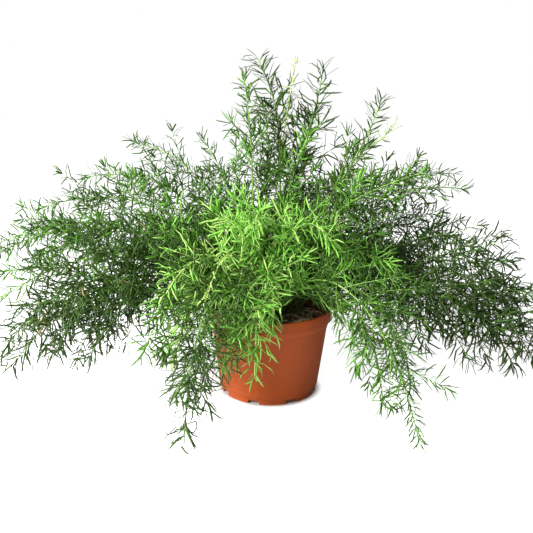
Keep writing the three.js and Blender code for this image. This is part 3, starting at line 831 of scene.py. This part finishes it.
# A needle's place on the scale of leaf colours, and what each mark adds to it
LEAF_LEVEL = -0.04
LEAF_BY_YOUTH_AND_SHADING = 0.90
LEAF_BY_TIP = 0.05
LEAF_BY_TONE = 0.56
PALE_FOOT = 0.40
LIGHT_THROUGH = 0.34


def leaf_green(paint, tone):
    """Green from dark to lime by youth and painted shading, by tone and towards the tip, with patches and
    flecks.
    """
    level = paint.add(
        LEAF_LEVEL,
        # Youth brightens the needles. As set per stem it also holds painted shading, darker where the key
        # light falls full and brighter in the front of the crown.
        paint.times(paint.mark("youth_and_painted_shading"), LEAF_BY_YOUTH_AND_SHADING),
        paint.times(paint.math("POWER", paint.mark("age"), 2.0), LEAF_BY_TIP),
        paint.times(tone, LEAF_BY_TONE),
        paint.swing(paint.noise(28, 2), -0.10, 0.10),
        paint.swing(paint.noise(900, 2), -0.06, 0.06),
    )
    return paint.ramp(level, (0, OLD_LEAF), (0.28, DARK_LEAF), (0.50, LEAF),
                      (0.74, FRESH_LEAF), (1, LIME_LEAF))


def leaf_material():
    """Needles: green, paler at their foot, with a few dry ones and light coming through them."""
    paint = Paint("needles")
    tone = paint.mark("tone")
    along = paint.mark("along")
    foot = paint.span(along, 0, 0.35, PALE_FOOT, 0)
    pale = paint.mix(foot, leaf_green(paint, tone), FRESH_LEAF)
    dry = paint.times(paint.span(tone, 0.985, 0.99), paint.span(along, 0.2, 0.8))
    colour = paint.mix(dry, pale, STRAW)
    roughness = paint.swing(paint.noise(500, 2), 0.30, 0.44)
    paint.set(Base_Color=colour, Roughness=roughness, Specular_IOR_Level=0.5)
    normal = paint.bump(paint.noise(1200, 2), 0.0002, 0.5)
    through = paint.node("ShaderNodeBsdfTranslucent", {"Color": colour, "Normal": normal})
    both = paint.node("ShaderNodeMixShader", {
        0: LIGHT_THROUGH, 1: paint.shader.outputs[0], 2: through.outputs[0]})
    paint.feed(paint.output.inputs["Surface"], both.outputs[0])
    return paint.material


# Colours of canes from old to young, and of their brown flecks
DULL_CANE = (0.085, 0.180, 0.035)
GREEN_CANE = (0.230, 0.420, 0.070)
LIME_CANE = (0.540, 0.700, 0.220)
WOODY_CANE = (0.160, 0.095, 0.045)
CANE_LEVEL = 0.52
CANE_BY_YOUTH_AND_SHADING = 0.50
CANE_BY_TIP = 0.10


def cane_material():
    """Canes and twigs: smooth green, yellower with youth and painted shading, with brown flecks near the
    soil.
    """
    paint = Paint("canes")
    share = paint.mark("age")
    streak = paint.noise(420, 3, (1, 1, 0.15))
    level = paint.add(
        CANE_LEVEL,
        # Youth, with the painted shading set per stem, makes canes yellower and brighter.
        paint.times(paint.mark("youth_and_painted_shading"), CANE_BY_YOUTH_AND_SHADING),
        paint.times(share, CANE_BY_TIP),
        paint.swing(streak, -0.08, 0.08),
    )
    green = paint.ramp(level, (0, DARK_LEAF), (0.35, DULL_CANE), (0.7, GREEN_CANE), (1, LIME_CANE))
    woody = paint.times(paint.span(share, 0.02, 0.16, 1, 0), paint.span(paint.noise(260, 3), 0.42, 0.58))
    colour = paint.mix(woody, green, WOODY_CANE)
    paint.set(Base_Color=colour, Roughness=paint.swing(streak, 0.36, 0.5))
    paint.bump(streak, 0.0004, 0.6)
    return paint.material


# Colours of the pot's plastic
PLASTIC = (0.430, 0.076, 0.012)
DEEP_PLASTIC = (0.385, 0.067, 0.010)
DUST = (0.440, 0.155, 0.065)


def pot_material():
    """Satin moulded plastic: faint flow streaks, fine grain, and dust towards the foot."""
    paint = Paint("pot_plastic")
    flow = paint.noise(30, 4, (1, 1, 0.12))
    grain = paint.noise(2600, 2)
    cloud = paint.noise(14, 3)
    height = paint.node("ShaderNodeSeparateXYZ", {0: paint.place}).outputs["Z"]
    plastic = paint.mix(paint.span(flow, 0.35, 0.65), PLASTIC, DEEP_PLASTIC)
    low = paint.times(paint.span(height, 0.0, 0.02, 0.10, 0.02), paint.span(cloud, 0.35, 0.7))
    roughness = paint.add(0.36, paint.swing(flow, 0, 0.07), paint.swing(cloud, 0, 0.08))
    paint.set(Base_Color=paint.mix(low, plastic, DUST), Roughness=roughness, Specular_IOR_Level=0.22)
    relief = paint.add(paint.times(grain, 0.3), paint.times(flow, 0.7))
    paint.bump(relief, 0.0003, 0.35)
    return paint.material


# Colours of peat and its crumbs, and of bark and fibres from dark to light
WET_PEAT = (0.010, 0.006, 0.004)
PEAT = (0.044, 0.026, 0.017)
CRUMB = (0.130, 0.076, 0.046)
PALE_CRUMB = (0.340, 0.220, 0.125)
BARK = ((0.020, 0.011, 0.007), (0.420, 0.250, 0.140))
COIR = ((0.150, 0.085, 0.045), (0.950, 0.780, 0.520))


def soil_material():
    """Damp peat: near black, with brown crumbs."""
    paint = Paint("potting_mix")
    crumb = paint.noise(260, 6)
    fleck = paint.noise(900, 3)
    colour = paint.ramp(crumb, (0.30, WET_PEAT), (0.48, PEAT), (0.60, CRUMB), (0.76, PALE_CRUMB))
    paint.set(Base_Color=colour, Roughness=paint.swing(fleck, 0.72, 0.95))
    paint.bump(paint.add(crumb, paint.times(fleck, 0.4)), 0.002, 0.9)
    return paint.material


def litter_material(name, dark, light):
    """Bark or fibre: one brown a piece between dark and light, with grain along it."""
    paint = Paint(name)
    grain = paint.noise(420, 4, (1, 0.4, 1))
    level = paint.add(paint.times(paint.mark("tone"), 0.8), paint.swing(grain, -0.1, 0.3))
    colour = paint.mix(level, dark, light)
    paint.set(Base_Color=colour, Roughness=paint.swing(grain, 0.62, 0.88))
    paint.bump(grain, 0.0008, 0.7)
    return paint.material


# Pot

def filleted(corners):
    """An outline of [radius, z] whose corners, given as (radius, z, fillet), are rounded."""
    outline = []
    places = [np.array(corner[:2], float) for corner in corners]
    for k, place in enumerate(places):
        fillet = corners[k][2]
        if not fillet:
            outline.append(place)
            continue
        before = unit(places[k - 1] - place) * fillet + place
        after = unit(places[k + 1] - place) * fillet + place
        for t in np.linspace(0, 1, FILLET_POINTS):
            outline.append(quadratic(before, place, after, t))
    return outline


def pot_outside():
    """The pot's outer face, as radius, height and fillet: foot ring, tapered body, lip line and band."""
    band_foot = POT_HEIGHT - BAND_HEIGHT
    slope = (BODY_TOP_RADIUS - BODY_FOOT_RADIUS) / (BODY_TOP - BODY_FOOT)
    crease_radius = BODY_FOOT_RADIUS + (CREASE - BODY_FOOT) * slope
    lip = BODY_TOP - LIP_DROP
    lip_radius = BODY_TOP_RADIUS - LIP_DROP * slope
    return [
        (0, FLOOR_BELOW, 0),
        (FOOT_RADIUS - FOOT_WIDTH, FLOOR_BELOW, 0.8),
        (FOOT_RADIUS - FOOT_WIDTH, 0, 0.4),
        (FOOT_RADIUS, 0, 0.5),
        (FOOT_RADIUS + 0.3, BODY_FOOT - 2.5, 0.8),
        (BODY_FOOT_RADIUS, BODY_FOOT, 2.2),
        (crease_radius, CREASE - CREASE_HALF, 0.2),
        (crease_radius - 0.25, CREASE, 0.2),
        (crease_radius + 0.1, CREASE + CREASE_HALF, 0.2),
        (lip_radius, lip, 1.0),
        (lip_radius + 0.7, lip + 0.9, 0.5),
        (BODY_TOP_RADIUS + 0.3, BODY_TOP, 1.2),
        (RIM_RADIUS - 0.8, band_foot - 1.5, 1.4),
        (RIM_RADIUS, band_foot, 0.7),
        (RIM_RADIUS, POT_HEIGHT - 1.0, 0.9),
        (RIM_RADIUS - 1.0, POT_HEIGHT, 0.8),
    ]


def pot_inside():
    """The pot's inner face from the rim down to the floor, as radius, height and fillet."""
    return [
        (RIM_RADIUS - 2.1, POT_HEIGHT, 0.8),
        (RIM_RADIUS - WALL - 1, POT_HEIGHT - BAND_HEIGHT, 1.5),
        (BODY_TOP_RADIUS - WALL, BODY_TOP + 1, 1.5),
        (BODY_FOOT_RADIUS - WALL, BODY_FOOT - 1, 1.5),
        (BODY_FOOT_RADIUS - WALL - 1.5, FLOOR_BELOW + WALL, 0.8),
        (0, FLOOR_BELOW + WALL, 0),
    ]


def turned(name, outline, segments):
    """An outline of [radius, z] from axis to axis, turned into a closed mesh."""
    mesh = bmesh.new()
    rings = []
    for radius, z in outline:
        if radius < TINY:
            rings.append([mesh.verts.new((0, 0, z * MM))])
            continue
        rings.append([mesh.verts.new(Vector(polar(radius, 360 * k / segments, z)) * MM)
                      for k in range(segments)])
    for low, high in zip(rings, rings[1:]):
        for k in range(segments):
            after = (k + 1) % segments
            below = [low[k % len(low)], low[after % len(low)]]
            above = [high[after % len(high)], high[k % len(high)]]
            mesh.faces.new(list(dict.fromkeys(below + above)))
    bmesh.ops.recalc_face_normals(mesh, faces=mesh.faces)
    return finished(name, mesh)


def finished(name, mesh):
    """The object that a bmesh makes."""
    made = bpy.data.meshes.new(name)
    mesh.to_mesh(made)
    mesh.free()
    piece = bpy.data.objects.new(name, made)
    bpy.context.collection.objects.link(piece)
    return piece


def pot_cutters():
    """Notches through the foot ring and drain holes through the floor, in one mesh."""
    mesh = bmesh.new()
    size = Matrix.Diagonal((NOTCH_DEPTH * MM, NOTCH_WIDTH * MM, 2 * NOTCH_HEIGHT * MM, 1))
    place = Matrix.Translation((FOOT_RADIUS * MM, 0, 0))
    for k in range(DRAINS):
        turn = Matrix.Rotation(2 * math.pi * (k + 0.5) / DRAINS + math.radians(NOTCH_TURN), 4, "Z")
        box = bmesh.ops.create_cube(mesh, size=1, matrix=turn @ place @ size)["verts"]
        edges = {edge for vertex in box for edge in vertex.link_edges}
        bmesh.ops.bevel(
            mesh, geom=[edge for edge in edges if all(vertex.co.z > 0 for vertex in edge.verts)],
            offset=NOTCH_CORNER * MM, segments=NOTCH_CORNER_STEPS, affect="EDGES", profile=0.5)
        bmesh.ops.create_cone(
            mesh, cap_ends=True, segments=DRAIN_SEGMENTS, radius1=DRAIN_RADIUS * MM,
            radius2=DRAIN_RADIUS * MM, depth=3 * FLOOR_BELOW * MM,
            matrix=turn @ Matrix.Translation((DRAIN_CIRCLE * MM, 0, FLOOR_BELOW * MM)))
    return finished("cutters", mesh)


def cut(piece, cutters):
    """The piece's mesh with the cutters taken out of it. The cutters are removed."""
    boolean = piece.modifiers.new("cut", "BOOLEAN")
    boolean.operation = "DIFFERENCE"
    boolean.solver = "EXACT"
    boolean.object = cutters
    graph = bpy.context.evaluated_depsgraph_get()
    mesh = bpy.data.meshes.new_from_object(piece.evaluated_get(graph))
    piece.modifiers.clear()
    piece.data = mesh
    bpy.data.objects.remove(cutters)


def smooth_by_angle(piece, degrees):
    piece.data.polygons.foreach_set("use_smooth", [True] * len(piece.data.polygons))
    piece.data.set_sharp_from_angle(angle=math.radians(degrees))


def dress(piece, material, slot, *nodes):
    """What every piece of the pot and soil needs: its material, its body, and the part nodes that it hides.
    """
    piece.data.materials.clear()
    piece.data.materials.append(material)
    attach(piece, "root")
    if nodes:
        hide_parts(*nodes)


def make_pot():
    pot = turned("fern_pot", filleted(pot_outside() + pot_inside()), POT_SEGMENTS)
    cut(pot, pot_cutters())
    smooth_by_angle(pot, POT_EDGE_ANGLE)
    dress(pot, pot_material(), "pot", "pot")


# Soil

def sway(first, second, wave):
    """A wave along the first direction that sways with the second."""
    pitch, reach, second_pitch = wave
    return np.sin(pitch * first + reach * np.sin(second_pitch * second))


def soil_height(x, y):
    """The part's uneven top, which sinks a little towards the pot's wall, with small crumbs on it."""
    bumps = np.sin(SOIL_WAVE_X * x + 1) * np.cos(SOIL_WAVE_Y * y) - 1
    drop = SOIL_EDGE_DROP * (np.hypot(x, y) / BODY_TOP_RADIUS) ** 3
    crumbs = sway(x, y, CRUMB_WAVE_X) * sway(y, x, CRUMB_WAVE_Y)
    return SOIL_TOP + SOIL_BUMP * bumps - drop + CRUMB_HEIGHT * crumbs


def make_soil():
    inside = WALL + SOIL_GAP
    edge = BODY_TOP_RADIUS - inside + 1
    rim = [(radius, SOIL_TOP) for radius in np.linspace(edge, 0, SOIL_RINGS)]
    body = turned("fern_soil", [
        (0, FLOOR_BELOW + inside),
        (BODY_FOOT_RADIUS - inside - 2, FLOOR_BELOW + inside),
        (BODY_FOOT_RADIUS - inside - 0.6, BODY_FOOT),
        (BODY_TOP_RADIUS - inside, BODY_TOP),
        *rim,
    ], SOIL_SEGMENTS)
    random = np.random.default_rng(SOIL_SEED)
    for vertex in body.data.vertices:
        x, y, z = vertex.co / MM
        if z > SOIL_TOP - 1:
            vertex.co.z = (soil_height(x, y) + random.uniform(-SOIL_GRIT, SOIL_GRIT)) * MM
    smooth_by_angle(body, SOIL_EDGE_ANGLE)
    dress(body, soil_material(), "soil", "soil")


def on_soil(random, count, reach):
    """Random places on the soil, as x and y."""
    radius = reach * np.sqrt(random.random(count))
    angle = 2 * np.pi * random.random(count)
    return np.stack([radius * np.cos(angle), radius * np.sin(angle)], axis=-1)


def make_chips():
    """Bark chips that lie half in the soil."""
    random = np.random.default_rng(CHIP_SEED)
    ball = bmesh.new()
    bmesh.ops.create_icosphere(ball, subdivisions=2, radius=1)
    points = np.array([vertex.co[:] for vertex in ball.verts])
    faces = [[vertex.index for vertex in face.verts] for face in ball.faces]
    ball.free()
    skin = Skin("tone")
    for x, y in on_soil(random, CHIPS, BODY_TOP_RADIUS - CHIP_MARGIN):
        length = random.uniform(*CHIP_LENGTH)
        size = length * np.array([1, random.uniform(*CHIP_WIDTH), random.uniform(*CHIP_THICKNESS)])
        rough = np.sign(points) * np.abs(points) ** random.uniform(*CHIP_SQUARENESS, 3)
        rough = rough * (1 + CHIP_ROUGHNESS * random.normal(size=(len(points), 1))) * size
        turn, tilt, roll = (Matrix.Rotation(random.uniform(low, high), 3, axis)
                            for axis, low, high in CHIP_TURNS)
        place = np.array([x, y, soil_height(x, y) + CHIP_RISE * size[2]])
        skin.add(rough @ np.array(turn @ tilt @ roll).T + place, [faces], (random.random(),))
    chips = skin.build("soil_chips", [], smooth=False)
    dress(chips, litter_material("bark", *BARK), "soil")


def make_fibres():
    """Coir and straw fibres that lie on the soil in loose curves."""
    random = np.random.default_rng(FIBRE_SEED)
    skin = Skin("tone")
    share = np.linspace(0, 1, FIBRE_POINTS)
    for x, y in on_soil(random, FIBRES, BODY_TOP_RADIUS - FIBRE_MARGIN):
        step = random.uniform(*FIBRE_LENGTH) / FIBRE_POINTS
        start = random.uniform(0, 2 * math.pi)
        heading = start + np.cumsum(random.normal(0, FIBRE_BEND, FIBRE_POINTS))
        headings = np.stack([np.cos(heading), np.sin(heading)], axis=-1)
        line = np.array([x, y]) + np.cumsum(headings, axis=0) * step
        reach = np.linalg.norm(line, axis=-1, keepdims=True)
        line *= np.minimum(1, (BODY_TOP_RADIUS - FIBRE_END_MARGIN) / reach)
        lift = FIBRE_REST + random.uniform(*FIBRE_LIFT) * np.sin(np.pi * share)
        height = soil_height(line[:, 0], line[:, 1]) + lift
        radii = random.uniform(*FIBRE_RADIUS) * (1 - FIBRE_TAPER * np.abs(2 * share - 1) ** 3)
        points, faces = tube(np.column_stack([line, height]), radii, FIBRE_SIDES, UP)
        skin.add(points, faces, (random.random(),))
    fibres = skin.build("soil_fibres", [])
    dress(fibres, litter_material("coir", *COIR), "soil")


# Studio

FLOOR_SIDE = 14
FLOOR_SINK = 0.0002
FLOOR_GREY = 0.8
# Strength of the floor's painted glow, seen only by the camera, and how far out from the pot's foot it
# fades in
FLOOR_PAINTED_GLOW = 0.9
SHADOW_EDGE = 1.15
WORLD_SEEN = 1.0
WORLD_LIGHT = 0.25
SOFTBOX_SIDE = 0.9

# Softboxes: place and aim in metres, and power in watts
SOFTBOXES = {
    "key": ((-1.3, -0.95, 1.0), (0, 0, 0.15), 89),
    "front": ((-0.6, -1.4, 0.8), (0, 0, 0.2), 6),
}


def make_floor():
    """A white floor that a painted glow, seen only by the camera, runs into the background."""
    bpy.ops.mesh.primitive_plane_add(size=FLOOR_SIDE, location=(0, 0, -FLOOR_SINK))
    floor = bpy.context.object
    floor.name = "studio_floor"
    paint = Paint("studio_white")
    seen = paint.node("ShaderNodeLightPath").outputs["Is Camera Ray"]
    radius = paint.node("ShaderNodeVectorMath", {0: paint.place}, operation="LENGTH").outputs["Value"]
    # Painted light: the floor glows for the camera alone and hides the shadows cast on it. The glow fades
    # out towards the pot's foot, which paints a darker contact shadow there.
    painted_glow = paint.span(radius, FOOT_RADIUS * MM, SHADOW_EDGE * FOOT_RADIUS * MM, 0, FLOOR_PAINTED_GLOW)
    paint.set(Base_Color=(FLOOR_GREY,) * 3, Roughness=0.9, Specular_IOR_Level=0.0,
              Emission_Color=(1.0, 1.0, 1.0), Emission_Strength=paint.times(seen, painted_glow))
    floor.data.materials.append(paint.material)


def make_world():
    """White to the eye, and softer as a light, so that the inner stems stay dark."""
    world = bpy.data.worlds.new("studio")
    bpy.context.scene.world = world
    world.use_nodes = True
    tree = world.node_tree
    tree.nodes.clear()
    seen, light = (tree.nodes.new("ShaderNodeBackground") for _ in range(2))
    seen.inputs["Strength"].default_value = WORLD_SEEN
    light.inputs["Strength"].default_value = WORLD_LIGHT
    for background in (seen, light):
        background.inputs["Color"].default_value = (1, 1, 1, 1)
    path = tree.nodes.new("ShaderNodeLightPath")
    either = tree.nodes.new("ShaderNodeMixShader")
    output = tree.nodes.new("ShaderNodeOutputWorld")
    tree.links.new(path.outputs["Is Camera Ray"], either.inputs[0])
    tree.links.new(light.outputs[0], either.inputs[1])
    tree.links.new(seen.outputs[0], either.inputs[2])
    tree.links.new(either.outputs[0], output.inputs["Surface"])


def softbox(name, place, aim, power):
    """A square area light that faces its aim."""
    light = bpy.data.lights.new(name, "AREA")
    light.size = SOFTBOX_SIDE
    light.energy = power
    lamp = bpy.data.objects.new(name, light)
    bpy.context.collection.objects.link(lamp)
    lamp.location = place
    lamp.rotation_euler = (Vector(aim) - Vector(place)).to_track_quat("-Z", "Y").to_euler()


def make_camera():
    forward = Vector((math.sin(CAMERA_YAW) * math.cos(CAMERA_PITCH),
                      math.cos(CAMERA_YAW) * math.cos(CAMERA_PITCH), -math.sin(CAMERA_PITCH)))
    level = Vector((math.cos(CAMERA_YAW), -math.sin(CAMERA_YAW), 0))
    upward = level.cross(forward)
    right = math.cos(CAMERA_ROLL) * level + math.sin(CAMERA_ROLL) * upward
    up = -math.sin(CAMERA_ROLL) * level + math.cos(CAMERA_ROLL) * upward
    lens = bpy.data.cameras.new("camera")
    lens.sensor_width = SENSOR
    lens.lens = SENSOR * FOCAL_PIXELS / PHOTO_SIDE
    camera = bpy.data.objects.new("camera", lens)
    bpy.context.collection.objects.link(camera)
    turn = Matrix((right, up, -forward)).transposed().to_4x4()
    camera.matrix_world = Matrix.Translation(CAMERA_PLACE) @ turn
    bpy.context.scene.camera = camera


make_camera()
make_world()
make_floor()
for box_name, setting in SOFTBOXES.items():
    softbox(box_name, *setting)
bpy.context.scene.view_settings.view_transform = "Standard"

make_pot()
make_soil()
make_chips()
make_fibres()
needle_paint = leaf_material()
cane_paint = cane_material()
for number, crown_root in enumerate(crown_roots()):
    grow_stem(number, crown_root, [needle_paint, cane_paint])
